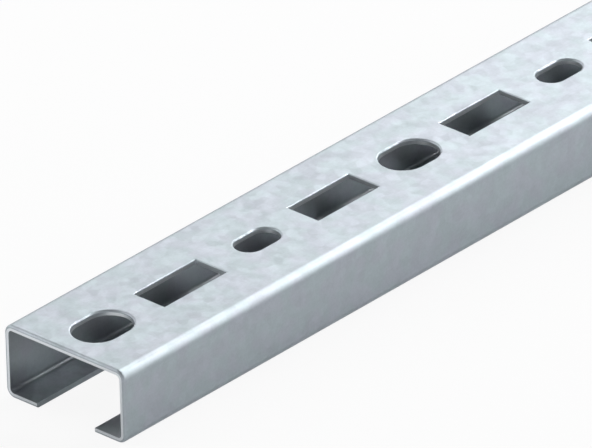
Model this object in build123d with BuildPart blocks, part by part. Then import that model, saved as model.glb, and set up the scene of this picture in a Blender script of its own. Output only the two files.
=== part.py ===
from build123d import *
from math import floor, isclose
import os

# Slotted strut channel: a light C-section, cold-rolled from one strip of galvanised steel.
# The web lies on top with its row of holes, two flanges stand under it, and two flat lips
# turn inwards at the bottom and leave a slot between them along the whole length.
# Sizes are in millimetres. X runs across the channel, Y along it and Z up.
# The origin is at the middle of the length and of the width, on the underside of the lips.

# Section
channel_width = 35.0
channel_height = 18.0
sheet_thickness = 1.25
inner_bend_radius = 1.0
slot_width = 17.0
lip_edge_round = 0.5

# Length and cut ends
channel_length = 300.0
cut_end_round = 0.6

# Row of holes in the web, counted from the end at the lowest Y
hole_pitch = 25.0
first_hole_distance = 12.5
least_web_at_cut = 1.5
large_slot_length = 15.0
large_slot_width = 11.0
small_slot_length = 12.0
small_slot_width = 7.0
window_length = 20.0
window_width = 9.0
slot_rim_round = 0.5
window_rim_round = 0.3

# Values that follow from the sizes above
outer_bend_radius = inner_bend_radius + sheet_thickness
first_hole_y = first_hole_distance - channel_length / 2
last_hole_least_distance = window_length / 2 + least_web_at_cut
hole_row_room = channel_length - first_hole_distance - last_hole_least_distance
hole_count = floor(hole_row_room / hole_pitch) + 1

# Two lengths closer than this count as equal when edges are picked
match_tolerance = 0.001


def large_slot():
    """Large oblong hole, its length along the channel."""
    SlotOverall(large_slot_length, large_slot_width, rotation=90)


def small_slot():
    """Small oblong hole, its length along the channel."""
    SlotOverall(small_slot_length, small_slot_width, rotation=90)


def window():
    """Square-cornered rectangular hole, its length along the channel."""
    Rectangle(window_width, window_length)


def same_length(one, other):
    """True where two lengths match."""
    return isclose(one, other, abs_tol=match_tolerance)


def at_lip_edge(corner):
    """True for a corner of the section where a lip ends at the slot."""
    return same_length(abs(corner.X), slot_width / 2)


def on_outer_face(edge):
    """True for an edge of a cut end that lies on the strip's outer face."""
    if edge.geom_type == GeomType.CIRCLE:
        return same_length(edge.radius, outer_bend_radius)
    middle = edge @ 0.5
    on_a_side = same_length(abs(middle.X), channel_width / 2)
    on_top_or_bottom = same_length(middle.Z, channel_height) or same_length(middle.Z, 0)
    return on_a_side or on_top_or_bottom


def rim_edges(channel, round_ended):
    """The upper rims of the slots, which have round ends, or else those of the windows."""
    web_top = channel.faces().sort_by(Axis.Z)[-1]
    edges = ShapeList()
    for rim in web_top.inner_wires():
        if bool(rim.edges().filter_by(GeomType.CIRCLE)) == round_ended:
            edges += rim.edges()
    return edges


# The press tool repeats these four holes along the strip
hole_sequence = [large_slot, window, small_slot, window]

with BuildPart() as strut_channel:
    # The strip's outer face runs from lip to lip, and the sheet lies inside it
    with BuildSketch(Plane.XZ) as section:
        with BuildLine():
            FilletPolyline(
                (slot_width / 2, 0),
                (channel_width / 2, 0),
                (channel_width / 2, channel_height),
                (-channel_width / 2, channel_height),
                (-channel_width / 2, 0),
                (-slot_width / 2, 0),
                radius=outer_bend_radius,
            )
            offset(amount=sheet_thickness, side=Side.LEFT)
        make_face()
        underside_corners = section.vertices().group_by(Axis.Y)[0]
        fillet(underside_corners.filter_by(at_lip_edge), lip_edge_round)
    extrude(amount=channel_length / 2, both=True)

    # The cut presses the outer edges of both ends round and leaves the inner ones sharp
    end_faces = strut_channel.faces().sort_by(Axis.Y)
    end_edges = end_faces[0].edges() + end_faces[-1].edges()
    fillet(end_edges.filter_by(on_outer_face), cut_end_round)

    # Holes punched down through the web
    with BuildSketch(Plane.XY.offset(channel_height)):
        for index in range(hole_count):
            with Locations((0, first_hole_y + index * hole_pitch)):
                hole_sequence[index % len(hole_sequence)]()
    extrude(amount=-sheet_thickness, mode=Mode.SUBTRACT)

    # The punch draws the sheet down with it, so each hole's upper rim is rounded
    fillet(rim_edges(strut_channel, round_ended=True), slot_rim_round)
    fillet(rim_edges(strut_channel, round_ended=False), window_rim_round)

strut_channel.part.label = "strut_channel"
os.makedirs("parts", exist_ok=True)
export_step(strut_channel.part, "parts/strut_channel.step")
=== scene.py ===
"""Strut channel: models and finishes one length of galvanised, cold-rolled strut channel.

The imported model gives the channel's overall size. The channel is modelled in metres, in the
same frame: X across it, Y along it, Z up, with the underside of its lips at Z = 0.
"""
import math

import bmesh
import bpy
from mathutils import Matrix, Vector


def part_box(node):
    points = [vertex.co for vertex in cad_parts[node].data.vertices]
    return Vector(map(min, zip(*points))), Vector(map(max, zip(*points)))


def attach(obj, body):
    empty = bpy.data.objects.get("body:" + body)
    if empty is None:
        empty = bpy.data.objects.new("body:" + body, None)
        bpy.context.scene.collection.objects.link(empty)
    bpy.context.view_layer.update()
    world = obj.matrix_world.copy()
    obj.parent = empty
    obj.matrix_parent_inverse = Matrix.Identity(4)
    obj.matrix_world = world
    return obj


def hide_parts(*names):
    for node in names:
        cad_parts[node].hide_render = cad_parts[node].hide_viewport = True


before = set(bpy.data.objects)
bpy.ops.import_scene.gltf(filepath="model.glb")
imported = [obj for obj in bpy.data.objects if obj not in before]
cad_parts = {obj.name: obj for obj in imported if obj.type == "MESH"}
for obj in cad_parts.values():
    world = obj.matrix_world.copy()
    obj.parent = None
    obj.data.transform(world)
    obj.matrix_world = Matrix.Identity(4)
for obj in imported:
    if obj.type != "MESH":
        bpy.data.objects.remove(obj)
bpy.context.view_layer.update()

bl_info = {
    "name": "Strut Channel",
    "version": (1, 0, 0),
    "blender": (4, 5, 0),
    "location": "3D View > Sidebar > Strut Channel",
    "description": "Models a length of galvanised strut channel and sets its studio stage",
    "category": "Object",
}

NODE = "strut_channel"
BODY = "root"
MM = 0.001
CHANNEL_LOW, CHANNEL_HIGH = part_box(NODE)

# Two places closer than this count as one when faces and edges are picked
PICK = 0.02 * MM

# Vertices closer than this are merged
MERGE = PICK / 10

# Segments of a quarter turn
BEND_SEGMENTS = 12
ARC_SEGMENTS = 12
RIM_SEGMENTS = 4

# How deep the bumps of each finish are
BLOTCH_RELIEF = 0.006 * MM
GRAIN_RELIEF = 0.003 * MM
TEAR_RELIEF = 0.006 * MM

# How far the floor lies under the channel, so that the two don't share a plane
FLOOR_GAP = 0.05 * MM


def size_property(name, description, default):
    """A length in metres that a user can change."""
    return bpy.props.FloatProperty(
        name=name, description=description, default=default, min=0.0, unit="LENGTH", precision=5
    )


def colour_property(name, description, default):
    """A linear RGB colour that a user can change."""
    return bpy.props.FloatVectorProperty(
        name=name, description=description, default=default, size=3, min=0.0, max=1.0, subtype="COLOR"
    )


def factor_property(name, description, default):
    """A plain number from 0 to 1."""
    return bpy.props.FloatProperty(name=name, description=description, default=default, min=0.0, max=1.0)


class StrutSizes(bpy.types.PropertyGroup):
    """Sizes of the channel, its cut ends and its holes."""

    width: size_property("Width", "Across both flanges", CHANNEL_HIGH.x - CHANNEL_LOW.x)
    height: size_property("Height", "From the lips' underside to the web's top", CHANNEL_HIGH.z)
    length: size_property("Length", "From cut end to cut end", CHANNEL_HIGH.y - CHANNEL_LOW.y)
    sheet: size_property("Sheet", "Thickness of the strip", 1.25 * MM)
    inner_bend: size_property("Inner bend", "Radius inside each bend", 1.0 * MM)
    slot: size_property("Slot", "Open width between the lips", 17.0 * MM)
    cut_edge: size_property("Cut edge", "Rounding of a cut end's outer edge and under the lips", 0.6 * MM)
    hole_pitch: size_property("Hole pitch", "From one hole's middle to the next", 25.0 * MM)
    first_hole: size_property("First hole", "From the near end to its middle", 12.5 * MM)
    end_web: size_property("End web", "Least web left past the last hole", 1.5 * MM)
    large_slot_length: size_property("Large slot length", "Along the channel", 15.0 * MM)
    large_slot_width: size_property("Large slot width", "Across the channel", 11.0 * MM)
    small_slot_length: size_property("Small slot length", "Along the channel", 12.0 * MM)
    small_slot_width: size_property("Small slot width", "Across the channel", 7.0 * MM)
    window_length: size_property("Window length", "Along the channel", 20.0 * MM)
    window_width: size_property("Window width", "Across the channel", 9.0 * MM)
    slot_rim: size_property("Slot rim", "Drawn-in rounding of a slot's upper rim", 0.5 * MM)
    window_rim: size_property("Window rim", "Drawn-in rounding of a window's upper rim", 0.3 * MM)


class StrutFinish(bpy.types.PropertyGroup):
    """Colours and finish of the zinc coating and of the sheared steel."""

    zinc_cool: colour_property("Cool patches", "Zinc where it leans to lilac", (0.454, 0.487, 0.535))
    zinc_green: colour_property("Pale patches", "Zinc where it leans to green", (0.443, 0.502, 0.531))
    # Inside: a painted shade tint. The inner faces get a copy of the zinc tinted to match the colour of the
    # shaded inside, not a different coating
    inside: bpy.props.FloatVectorProperty(
        name="Inside", description="Red, green and blue of the inner face against the outer one",
        default=(1.05, 1.02, 1.0), size=3, min=0.0, max=1.5,
    )
    sheared: colour_property("Sheared steel", "Colour of cut ends and hole walls", (0.84, 0.88, 0.91))
    metallic: factor_property("Metallic", "How metallic the zinc and the steel are", 0.9)
    zinc_roughness: factor_property("Zinc roughness", "Roughness of the zinc coating", 0.42)
    sheared_roughness: factor_property("Sheared roughness", "Roughness of a cut face", 0.38)
    cloud_size: size_property("Cloud size", "Typical width of a dull or bright patch", 6.0 * MM)
    blotch_size: size_property("Blotch size", "Typical width of a small blotch", 3.12 * MM)
    spangle_size: size_property("Spangle size", "Typical width of a zinc crystal", 2.4 * MM)
    grain_size: size_property("Grain size", "Typical width of the fine grain", 0.6 * MM)
    line_width: size_property("Line width", "Typical width of a line along the rolling", 0.35 * MM)
    cloud: factor_property("Cloud", "How far the wide patches change the zinc's brightness", 0.15)
    blotch: factor_property("Blotch", "How far the small blotches change it", 0.26)
    spangle: factor_property("Spangle", "How far the crystals change it", 0.14)
    grain: factor_property("Grain", "How far the fine grain changes it", 0.20)
    line: factor_property("Line", "How far the lines along the rolling change it", 0.06)
    calm: factor_property("Calm", "Share of the patches left where the rolls smoothed the zinc", 0.45)
    burnished: bpy.props.FloatVectorProperty(
        name="Burnished", description="Where across the web that smoothing starts, and where it is full",
        default=(14.0 * MM, 16.0 * MM), size=2, min=0.0, unit="LENGTH", precision=5,
    )


class StrutStage(bpy.types.PropertyGroup):
    """Floor, lamps and camera."""

    floor_size: size_property("Floor size", "Side of the square floor", 6.0)
    floor: colour_property("Floor", "Colour of the floor", (0.88, 0.885, 0.89))
    floor_glow: factor_property("Floor glow", "Share of plain white in the floor that is seen", 0.90)
    floor_mirrored: factor_property("Mirrored floor glow", "The same, as metal and glass show it", 0.12)
    world: colour_property("World", "Colour of the light from all round", (0.15, 0.15, 0.15))
    lamp_distance: size_property("Lamp distance", "From each lamp to the middle of the channel", 1.3)
    azimuth: bpy.props.FloatProperty(
        name="Azimuth", description="Where the camera stands round the channel",
        default=math.radians(42.663), subtype="ANGLE",
    )
    elevation: bpy.props.FloatProperty(
        name="Elevation", description="How high the camera stands",
        default=math.radians(28.839), subtype="ANGLE",
    )
    roll: bpy.props.FloatProperty(
        name="Roll", description="How far the camera leans", default=math.radians(-1.630), subtype="ANGLE"
    )
    distance: size_property("Distance", "From the camera to the point it looks at", 3.978)
    aim: bpy.props.FloatVectorProperty(
        name="Aim", description="Point that the camera looks at",
        default=(-0.009342, -0.064709, 0.008885), size=3, subtype="TRANSLATION",
    )
    lens: bpy.props.FloatProperty(
        name="Lens", description="Focal length in millimetres", default=1103.0, min=1.0, max=5000.0
    )


# Modelling helpers


def start_clean():
    """Leaves edit mode and selects nothing, so that the next operator acts on its own object."""
    if bpy.context.mode != "OBJECT":
        bpy.ops.object.mode_set(mode="OBJECT")
    bpy.ops.object.select_all(action="DESELECT")


def make_active(piece):
    """Makes one piece the only selected and the active one."""
    start_clean()
    piece.select_set(True)
    bpy.context.view_layer.objects.active = piece


def select_parts(piece, faces=None, edges=None):
    """In edit mode, selects the faces or the edges for which the given test is true."""
    mesh = bmesh.from_edit_mesh(piece.data)
    for part in (*mesh.faces, *mesh.edges, *mesh.verts):
        part.select = False
    if edges:
        bpy.ops.mesh.select_mode(type="EDGE")
        chosen = [e for e in mesh.edges if edges(e)]
    else:
        bpy.ops.mesh.select_mode(type="FACE")
        chosen = [f for f in mesh.faces if faces(f)]
    for part in chosen:
        part.select = True
    mesh.select_flush_mode()
    bmesh.update_edit_mesh(piece.data)


def merge_doubles(distance):
    """In edit mode, merges all vertices that lie closer than the distance."""
    bpy.ops.mesh.select_all(action="SELECT")
    bpy.ops.mesh.remove_doubles(threshold=distance)


def round_off(radius, segments, affect="EDGES", loop_slide=True):
    """In edit mode, bevels the selected edges or corners to a round."""
    bpy.ops.mesh.bevel(
        offset_type="OFFSET", offset=radius, segments=segments, profile=0.5,
        affect=affect, clamp_overlap=False, loop_slide=loop_slide,
    )


def face_outwards():
    """Turns every face outwards and leaves edit mode."""
    bpy.ops.mesh.select_all(action="SELECT")
    bpy.ops.mesh.normals_make_consistent(inside=False)
    bpy.ops.object.mode_set(mode="OBJECT")


def near(value, target):
    """True where two coordinates are the same place."""
    return abs(value - target) < PICK


def apply_modifier(piece, kind, **settings):
    """Adds a modifier with its settings and applies it at once."""
    modifier = piece.modifiers.new(kind.lower(), kind)
    for name, value in settings.items():
        setattr(modifier, name, value)
    make_active(piece)
    bpy.ops.object.modifier_apply(modifier=modifier.name)


# The channel


def roll_skin(sizes):
    """The strip's outer face: web, flanges and lips, with its four bends rounded."""
    half_width = sizes.width / 2
    lip = half_width - sizes.slot / 2
    start_clean()
    bpy.ops.mesh.primitive_plane_add(size=1.0, location=(0.0, 0.0, 0.0))
    skin = bpy.context.object
    skin.name = NODE + "_rolled"
    bpy.ops.object.mode_set(mode="EDIT")
    bpy.ops.mesh.select_all(action="SELECT")
    bpy.ops.transform.resize(value=(sizes.width, sizes.length, 1.0))
    bpy.ops.transform.translate(value=(0.0, 0.0, sizes.height))
    for side in (-1, 1):
        select_parts(skin, edges=lambda e: all(near(v.co.x, side * half_width) for v in e.verts))
        bpy.ops.mesh.extrude_region_move(TRANSFORM_OT_translate={"value": (0, 0, -sizes.height)})
        bpy.ops.mesh.extrude_region_move(TRANSFORM_OT_translate={"value": (-side * lip, 0, 0)})
    # A seam along the middle of the web, so that every hole lies across two faces
    select_parts(skin, faces=lambda f: near(f.calc_center_median().z, sizes.height))
    bpy.ops.mesh.bisect(plane_co=(0, 0, sizes.height), plane_no=(1, 0, 0))
    select_parts(
        skin,
        edges=lambda e: all(near(abs(v.co.x), half_width) for v in e.verts)
        and near(e.verts[0].co.z, e.verts[1].co.z),
    )
    round_off(sizes.inner_bend + sizes.sheet, BEND_SEGMENTS)
    face_outwards()
    return skin


def punch(sizes, name, length, width, corner=0.0):
    """A solid with the shape of one hole, through the web at the middle of the channel."""
    start_clean()
    bpy.ops.mesh.primitive_plane_add(size=1.0, location=(0.0, 0.0, 0.0))
    tool = bpy.context.object
    tool.name = name
    bpy.ops.object.mode_set(mode="EDIT")
    bpy.ops.mesh.select_all(action="SELECT")
    bpy.ops.transform.resize(value=(width, length, 1.0))
    if corner:
        round_off(corner, ARC_SEGMENTS, affect="VERTICES")
        merge_doubles(PICK)
        bpy.ops.mesh.select_all(action="SELECT")
    bpy.ops.transform.translate(value=(0.0, 0.0, sizes.height + sizes.sheet))
    bpy.ops.mesh.extrude_region_move(TRANSFORM_OT_translate={"value": (0, 0, -3 * sizes.sheet)})
    face_outwards()
    return tool


def copy_along(tool, y):
    """A copy of a hole tool, with its own mesh, this far along the channel."""
    make_active(tool)
    bpy.ops.object.duplicate(linked=False)
    bpy.ops.transform.translate(value=(0.0, y, 0.0))
    return bpy.context.object


def punch_row(sizes):
    """The hole tools in their order along the channel, joined into one object."""
    large_slot = punch(
        sizes, "large_slot_punch", sizes.large_slot_length, sizes.large_slot_width,
        sizes.large_slot_width / 2,
    )
    small_slot = punch(
        sizes, "small_slot_punch", sizes.small_slot_length, sizes.small_slot_width,
        sizes.small_slot_width / 2,
    )
    window = punch(sizes, "window_punch", sizes.window_length, sizes.window_width)
    order = (large_slot, window, small_slot, window)
    room = sizes.length - sizes.first_hole - sizes.window_length / 2 - sizes.end_web
    row = []
    for index in range(math.floor(room / sizes.hole_pitch + PICK) + 1):
        y = sizes.first_hole - sizes.length / 2 + index * sizes.hole_pitch
        row.append(copy_along(order[index % len(order)], y))
    for master in (large_slot, small_slot, window):
        bpy.data.objects.remove(master)
    start_clean()
    for tool in row:
        tool.select_set(True)
    bpy.context.view_layer.objects.active = row[0]
    bpy.ops.object.join()
    bpy.ops.object.transform_apply(location=True, rotation=True, scale=True)
    return row[0]


def round_rims(skin, sizes):
    """Rounds the upper rim of every hole: the slots' by one radius and the windows' by another."""
    half_length = sizes.length / 2

    def is_rim(edge, of_window):
        """An edge where the wall of a window, or of a slot, meets the top of the web."""
        if not all(near(v.co.z, sizes.height) for v in edge.verts) or len(edge.link_faces) != 2:
            return False
        walls = [f for f in edge.link_faces if abs(f.normal.z) < 0.5]
        from_first = edge.verts[0].co.y + half_length - sizes.first_hole
        in_window = round(from_first / sizes.hole_pitch) % 2 == 1
        at_hole = len(walls) == 1 and abs(edge.verts[0].co.y) < half_length - PICK
        return at_hole and in_window == of_window

    for radius, of_window in ((sizes.slot_rim, False), (sizes.window_rim, True)):
        select_parts(skin, edges=lambda e: is_rim(e, of_window))
        round_off(radius, RIM_SEGMENTS, loop_slide=False)


def round_outer_edges(skin, sizes):
    """Rounds the outer edge of both cut ends, and the edge under each lip beside the slot."""
    half_length = sizes.length / 2
    outer_bend = sizes.inner_bend + sizes.sheet

    def on_outer_face(point):
        """True for a point of a cut end that lies on the strip's outer face."""
        x, z = abs(point.x), point.z
        if near(x, sizes.width / 2) or near(z, sizes.height) or near(z, 0.0):
            return True
        middle_z = outer_bend if z < sizes.height / 2 else sizes.height - outer_bend
        return near(math.hypot(x - (sizes.width / 2 - outer_bend), z - middle_z), outer_bend)

    def is_pressed(edge):
        """An outer edge of a cut end, or the lower edge of a lip beside the slot."""
        first, second = edge.verts
        if all(near(abs(v.co.y), half_length) and on_outer_face(v.co) for v in edge.verts):
            at_end = any(abs(f.normal.y) > 0.5 for f in edge.link_faces)
            return near(first.co.y, second.co.y) and at_end
        return all(near(abs(v.co.x), sizes.slot / 2) and near(v.co.z, 0.0) for v in edge.verts)

    select_parts(skin, edges=is_pressed)
    round_off(sizes.cut_edge, RIM_SEGMENTS, loop_slide=False)


def model_channel(sizes):
    """The whole channel as one closed mesh: rolled, punched, and its edges rounded."""
    skin = roll_skin(sizes)
    apply_modifier(skin, "SOLIDIFY", thickness=sizes.sheet, offset=-1.0, use_even_offset=True, use_rim=True)
    tools = punch_row(sizes)
    apply_modifier(skin, "BOOLEAN", operation="DIFFERENCE", object=tools, solver="EXACT")
    bpy.data.objects.remove(tools)
    make_active(skin)
    bpy.ops.object.mode_set(mode="EDIT")
    merge_doubles(MERGE)
    round_rims(skin, sizes)
    round_outer_edges(skin, sizes)
    merge_doubles(MERGE)
    face_outwards()
    return skin


# Materials


class Value:
    """A number that a shader works out, so that shader maths reads as Python."""

    def __init__(self, tree, socket):
        self.tree = tree
        self.socket = socket

    def join(self, operation, *values):
        """The outcome of one Math node."""
        return self.tree.node("ShaderNodeMath", {"operation": operation}, dict(enumerate(values)))[0]

    def __add__(self, other):
        return self.join("ADD", self, other)

    def __radd__(self, other):
        return self.join("ADD", other, self)

    def __sub__(self, other):
        return self.join("SUBTRACT", self, other)

    def __rsub__(self, other):
        return self.join("SUBTRACT", other, self)

    def __mul__(self, other):
        return self.join("MULTIPLY", self, other)

    def __rmul__(self, other):
        return self.join("MULTIPLY", other, self)

    def __abs__(self):
        return self.join("ABSOLUTE", self)


class Made:
    """A node that was just made. Its outputs are read by name or number."""

    def __init__(self, tree, node):
        self.tree = tree
        self.made = node

    def __getitem__(self, key):
        return Value(self.tree, self.made.outputs[key])


class Tree:
    """The node tree of one material or world."""

    def __init__(self, owner):
        owner.use_nodes = True
        self.nodes = owner.node_tree.nodes
        self.links = owner.node_tree.links
        self.nodes.clear()

    def node(self, kind, settings=None, sockets=None):
        """Makes a node: its settings first, then the values or links of its sockets."""
        node = self.nodes.new(kind)
        node.location = (220 * (len(self.nodes) % 8), -260 * (len(self.nodes) // 8))
        for name, value in (settings or {}).items():
            setattr(node, name, value)
        for name, value in (sockets or {}).items():
            if isinstance(value, Value):
                self.links.new(value.socket, node.inputs[name])
            else:
                node.inputs[name].default_value = value
        return Made(self, node)

    def noise(self, place, width, detail=2.0, roughness=0.5, distortion=0.0):
        """Noise from 0 to 1, whose blotches are about this wide."""
        sockets = {
            "Vector": place, "Scale": 1.0 / width, "Detail": detail,
            "Roughness": roughness, "Distortion": distortion,
        }
        return self.node("ShaderNodeTexNoise", {"noise_dimensions": "3D"}, sockets)["Fac"]

    def scaled(self, vector, factor):
        """A vector or a colour made larger or smaller by a number."""
        return self.node("ShaderNodeVectorMath", {"operation": "SCALE"}, {0: vector, "Scale": factor})[0]

    def stretched(self, vector, factors):
        """A vector with each of its three parts made larger or smaller."""
        return self.node("ShaderNodeVectorMath", {"operation": "MULTIPLY"}, {0: vector, 1: factors})[0]

    def mixed(self, factor, first, second):
        """One colour changing to another as the factor goes from 0 to 1."""
        settings = {"data_type": "RGBA", "blend_type": "MIX", "clamp_factor": True}
        return self.node("ShaderNodeMix", settings, {0: factor, 6: first, 7: second})[2]

    def ramp(self, factor, low, high):
        """0 up to the low value, 1 from the high value on, and smooth between them."""
        settings = {"interpolation_type": "SMOOTHSTEP"}
        return self.node(
            "ShaderNodeMapRange", settings, {"Value": factor, "From Min": low, "From Max": high}
        )[0]

    def bump(self, height, distance, under=None):
        """A normal that shows a height, whose full range is the distance."""
        sockets = {"Strength": 1.0, "Distance": distance, "Height": height}
        if under:
            sockets["Normal"] = under
        return self.node("ShaderNodeBump", {}, sockets)[0]

    def finish(self, sockets):
        """Ends a material in one Principled shader."""
        shader = self.node("ShaderNodeBsdfPrincipled", {}, sockets)[0]
        self.node("ShaderNodeOutputMaterial", {}, {"Surface": shader})


def opaque(colour):
    """A colour property as a socket's four numbers."""
    return (*colour, 1.0)


def zinc_coating(finish, name, painted_shade_tint):
    """Galvanised strip: soft zinc crystals, cloudy patches and faint lines along the rolling."""
    # For the inner faces the third argument is a painted shade tint that matches the colour of the shaded
    # inside; for the outer faces it is plain 1
    cool, green = (
        tuple(part * by for part, by in zip(colour, painted_shade_tint))
        for colour in (finish.zinc_cool, finish.zinc_green)
    )
    material = bpy.data.materials.new(name)
    tree = Tree(material)
    place = tree.node("ShaderNodeTexCoord")["Object"]
    drift = tree.noise(place, finish.cloud_size, detail=1.0)
    crystals = tree.node(
        "ShaderNodeTexVoronoi", {"feature": "SMOOTH_F1", "voronoi_dimensions": "3D"},
        {"Vector": place, "Scale": 1.0 / finish.spangle_size, "Smoothness": 0.35, "Randomness": 1.0},
    )
    crystal = tree.node("ShaderNodeSeparateColor", {}, {0: crystals["Color"]})
    # The rolls draw the clouds out a little along the strip, and the lines a long way
    drawn_out = tree.stretched(place, (1.0, 0.7, 1.0))
    cloud = tree.noise(drawn_out, finish.cloud_size, detail=3.0, distortion=0.4)
    blotch = tree.noise(place, finish.blotch_size, detail=2.0, distortion=0.5)
    grain = tree.noise(place, finish.grain_size, detail=2.0, roughness=0.6)
    drawn_long = tree.stretched(place, (1.0, 0.02, 1.0))
    lines = tree.noise(drawn_long, finish.line_width, detail=2.0, roughness=0.6)

    lean = tree.ramp(drift, 0.36, 0.64)
    tint = tree.mixed(lean, opaque(cool), opaque(green))
    across = tree.node("ShaderNodeSeparateXYZ", {}, {0: place})["X"]
    flat = 1.0 - tree.ramp(abs(across), *finish.burnished)
    patches = (
        finish.cloud * (cloud - 0.5)
        + finish.blotch * (blotch - 0.5)
        + finish.spangle * (crystal[0] - 0.5)
    )
    shade = (
        1.0
        + (finish.calm + (1.0 - finish.calm) * flat) * patches
        + finish.grain * (grain - 0.5)
        + finish.line * (lines - 0.5)
    )
    roughness = (
        finish.zinc_roughness
        + flat * (0.08 * (cloud - 0.5) - 0.12 * (blotch - 0.5))
        + 0.06 * (crystal[1] - 0.5)
        + 0.08 * (grain - 0.5)
    )
    soft = tree.bump(blotch + 0.5 * cloud, BLOTCH_RELIEF)
    fine = tree.bump(0.6 * grain + 0.8 * lines, GRAIN_RELIEF, under=soft)
    tree.finish({
        "Base Color": tree.scaled(tint, shade),
        "Metallic": finish.metallic,
        "Roughness": roughness,
        "Normal": fine,
    })
    return material


def sheared_steel(finish):
    """Cut ends and hole walls: bright steel with a fine torn grain."""
    material = bpy.data.materials.new("Sheared steel")
    tree = Tree(material)
    place = tree.node("ShaderNodeTexCoord")["Object"]
    tear = tree.noise(place, 0.5 * MM, detail=3.0, roughness=0.6)
    patch = tree.noise(place, 4.0 * MM, detail=2.0)
    shade = 1.0 + 0.16 * (tear - 0.5) + 0.12 * (patch - 0.5)
    roughness = finish.sheared_roughness + 0.15 * (tear - 0.5)
    tree.finish({
        "Base Color": tree.scaled(tuple(finish.sheared), shade),
        "Metallic": finish.metallic,
        "Roughness": roughness,
        "Normal": tree.bump(tear, TEAR_RELIEF),
    })
    return material


def dress_channel(channel, sizes, finish):
    """Gives the channel its finishes, outer zinc, a copy of the zinc with a painted shade tint for the
    inner faces, and sheared steel, and its shading.
    """
    channel.data.materials.clear()
    for material in (
        zinc_coating(finish, "Galvanised zinc", (1.0, 1.0, 1.0)),
        zinc_coating(finish, "Inner zinc painted shade tint", finish.inside),
        sheared_steel(finish),
    ):
        channel.data.materials.append(material)
    half_length = sizes.length / 2
    inner_half_width = sizes.width / 2 - sizes.sheet
    underside = sizes.height - sizes.sheet
    make_active(channel)
    bpy.ops.object.mode_set(mode="EDIT")

    def is_inner(face):
        """A face of the strip's inner side, its bends included."""
        return all(
            abs(v.co.x) < inner_half_width + PICK and sizes.sheet - PICK < v.co.z < underside + PICK
            for v in face.verts
        )

    def is_sheared(face):
        """A flat cut end, or the straight wall of a hole."""
        if abs(face.normal.y) > 0.9 and all(near(abs(v.co.y), half_length) for v in face.verts):
            return True
        levels = [v.co.z for v in face.verts]
        inside = all(abs(v.co.x) < sizes.large_slot_width / 2 + PICK for v in face.verts)
        return inside and min(levels) > underside - PICK and abs(face.normal.z) < 0.1

    # The inner faces take the zinc copy with the painted shade tint
    for index, test in ((1, is_inner), (2, is_sheared)):
        select_parts(channel, faces=test)
        channel.active_material_index = index
        bpy.ops.object.material_slot_assign()
    bpy.ops.object.mode_set(mode="OBJECT")
    make_active(channel)
    bpy.ops.object.shade_smooth_by_angle(angle=math.radians(40))
    apply_modifier(channel, "WEIGHTED_NORMAL", mode="FACE_AREA", weight=80, keep_sharp=True)


# The stage


# Each softbox: its name, its bearing clockwise from +Y and its rise above the floor, both in
# degrees, then its width and height in metres and its power in watts
SOFTBOXES = (
    ("softbox_back", -20.0, 29.0, 0.60, 0.60, 3.30),
    ("softbox_back_left", -43.0, 29.0, 0.60, 0.60, 1.53),
    ("softbox_back_left_low", -45.0, 20.0, 0.90, 0.70, 1.17),
    ("softbox_left", -90.0, 20.0, 0.90, 0.70, 2.47),
    ("softbox_front_left", -135.0, 20.0, 0.90, 0.70, 3.02),
    ("softbox_front_left_high", -120.0, 55.0, 0.90, 0.90, 2.35),
    ("softbox_front", 180.0, 20.0, 0.90, 0.70, 0.90),
    ("softbox_front_right", 135.0, 20.0, 0.90, 0.70, 0.95),
    ("softbox_right", 90.0, 20.0, 0.90, 0.70, 1.35),
    ("lamp_back_52", -10.0, 52.0, 0.25, 0.25, 2.60),
    ("lamp_back_45", 20.0, 45.0, 0.25, 0.25, 1.83),
    ("lamp_back_40", 30.0, 40.0, 0.25, 0.25, 2.20),
    ("lamp_back_34", 38.0, 34.0, 0.25, 0.25, 0.87),
    ("lamp_back_26", 44.0, 26.0, 0.25, 0.25, 1.41),
    ("lamp_back_18", 50.0, 18.0, 0.25, 0.25, 0.86),
    ("lamp_back_8", 56.0, 8.0, 0.25, 0.25, 0.95),
)


def add_softbox(distance, name, bearing, rise, width, height, power):
    """A soft rectangular lamp that faces the channel."""
    turn, tilt = math.radians(bearing), math.radians(rise)
    away = Vector((
        math.sin(turn) * math.cos(tilt),
        math.cos(turn) * math.cos(tilt),
        math.sin(tilt),
    ))
    start_clean()
    bpy.ops.object.light_add(type="AREA", location=away * distance)
    lamp = bpy.context.object
    lamp.name = name
    lamp.data.name = name
    lamp.data.shape = "RECTANGLE"
    lamp.data.size = width
    lamp.data.size_y = height
    lamp.data.energy = power
    lamp.visible_camera = False
    lamp.rotation_mode = "QUATERNION"
    lamp.rotation_quaternion = away.to_track_quat("Z", "Y")


def floor_material(stage):
    """A pale matt floor, partly self-lit to the camera and in what metal and glass show."""
    material = bpy.data.materials.new("Pale floor")
    tree = Tree(material)
    path = tree.node("ShaderNodeLightPath")
    mirrored = path["Is Glossy Ray"] + path["Is Transmission Ray"]
    glow = stage.floor_glow * path["Is Camera Ray"] + stage.floor_mirrored * mirrored
    matt = tree.node("ShaderNodeBsdfDiffuse", {}, {"Color": opaque(stage.floor)})[0]
    lit = tree.node("ShaderNodeEmission", {}, {"Color": (1.0, 1.0, 1.0, 1.0), "Strength": 1.0})[0]
    both = tree.node("ShaderNodeMixShader", {}, {0: glow, 1: matt, 2: lit})[0]
    tree.node("ShaderNodeOutputMaterial", {}, {"Surface": both})
    return material


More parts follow.
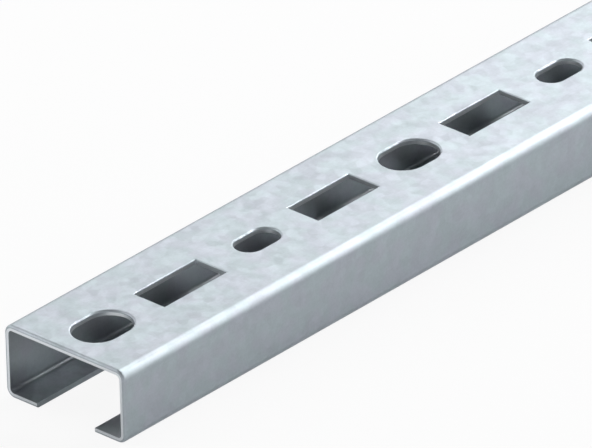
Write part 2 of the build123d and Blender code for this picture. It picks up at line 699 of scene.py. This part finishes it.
def set_stage(stage):
    """Floor, softboxes, the light all round, and the camera."""
    start_clean()
    bpy.ops.mesh.primitive_plane_add(size=stage.floor_size, location=(0.0, 0.0, 0.0))
    floor = bpy.context.object
    floor.name = "floor"
    bpy.ops.object.mode_set(mode="EDIT")
    bpy.ops.mesh.select_all(action="SELECT")
    bpy.ops.transform.translate(value=(0.0, 0.0, -FLOOR_GAP))
    bpy.ops.object.mode_set(mode="OBJECT")
    floor.data.materials.append(floor_material(stage))
    for softbox in SOFTBOXES:
        add_softbox(stage.lamp_distance, *softbox)

    world = bpy.data.worlds.new("Studio")
    bpy.context.scene.world = world
    tree = Tree(world)
    around = tree.node("ShaderNodeBackground", {}, {"Color": opaque(stage.world), "Strength": 1.0})[0]
    tree.node("ShaderNodeOutputWorld", {}, {"Surface": around})

    back = Vector((
        math.sin(stage.azimuth) * math.cos(stage.elevation),
        -math.cos(stage.azimuth) * math.cos(stage.elevation),
        math.sin(stage.elevation),
    ))
    start_clean()
    bpy.ops.object.camera_add(location=Vector(stage.aim) + back * stage.distance)
    camera = bpy.context.object
    camera.name = "camera"
    facing = (-back).to_track_quat("-Z", "Y").to_matrix() @ Matrix.Rotation(stage.roll, 3, "Z")
    camera.rotation_mode = "QUATERNION"
    camera.rotation_quaternion = facing.to_quaternion()
    camera.data.lens = stage.lens
    camera.data.clip_end = stage.distance * 5
    bpy.context.scene.camera = camera
    bpy.context.scene.view_settings.view_transform = "Standard"


# The add-on


class STRUT_OT_model_channel(bpy.types.Operator):
    """Rolls, punches and finishes the channel"""

    bl_idname = "strut.model_channel"
    bl_label = "Model channel"
    bl_options = {"REGISTER", "UNDO"}

    def execute(self, context):
        sizes = context.scene.strut_sizes
        channel = model_channel(sizes)
        dress_channel(channel, sizes, context.scene.strut_finish)
        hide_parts(NODE)
        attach(channel, BODY)
        return {"FINISHED"}


class STRUT_OT_set_stage(bpy.types.Operator):
    """Puts the channel on a pale floor under soft light, and sets the camera"""

    bl_idname = "strut.set_stage"
    bl_label = "Set stage"
    bl_options = {"REGISTER", "UNDO"}

    def execute(self, context):
        set_stage(context.scene.strut_stage)
        return {"FINISHED"}


class STRUT_PT_panel(bpy.types.Panel):
    """Lists the steps and the sizes, finish and stage that they use"""

    bl_idname = "STRUT_PT_panel"
    bl_label = "Strut Channel"
    bl_space_type = "VIEW_3D"
    bl_region_type = "UI"
    bl_category = "Strut Channel"

    def draw(self, context):
        scene = context.scene
        groups = (
            ("Channel", STRUT_OT_model_channel, (scene.strut_sizes, scene.strut_finish)),
            ("Stage", STRUT_OT_set_stage, (scene.strut_stage,)),
        )
        for title, operator, settings in groups:
            box = self.layout.box()
            box.label(text=title)
            for group in settings:
                for name in group.bl_rna.properties.keys():
                    if name not in {"rna_type", "name"}:
                        box.prop(group, name)
            box.operator(operator.bl_idname)


CLASSES = (
    StrutSizes, StrutFinish, StrutStage, STRUT_OT_model_channel, STRUT_OT_set_stage, STRUT_PT_panel,
)


def register():
    """Adds the add-on's classes, and its properties to each scene."""
    for each in CLASSES:
        bpy.utils.register_class(each)
    bpy.types.Scene.strut_sizes = bpy.props.PointerProperty(type=StrutSizes)
    bpy.types.Scene.strut_finish = bpy.props.PointerProperty(type=StrutFinish)
    bpy.types.Scene.strut_stage = bpy.props.PointerProperty(type=StrutStage)


def unregister():
    """Takes them away again."""
    del bpy.types.Scene.strut_stage
    del bpy.types.Scene.strut_finish
    del bpy.types.Scene.strut_sizes
    for each in reversed(CLASSES):
        bpy.utils.unregister_class(each)


def main():
    """Makes everything in order."""
    register()
    bpy.ops.strut.model_channel()
    bpy.ops.strut.set_stage()


if __name__ == "__main__":
    main()
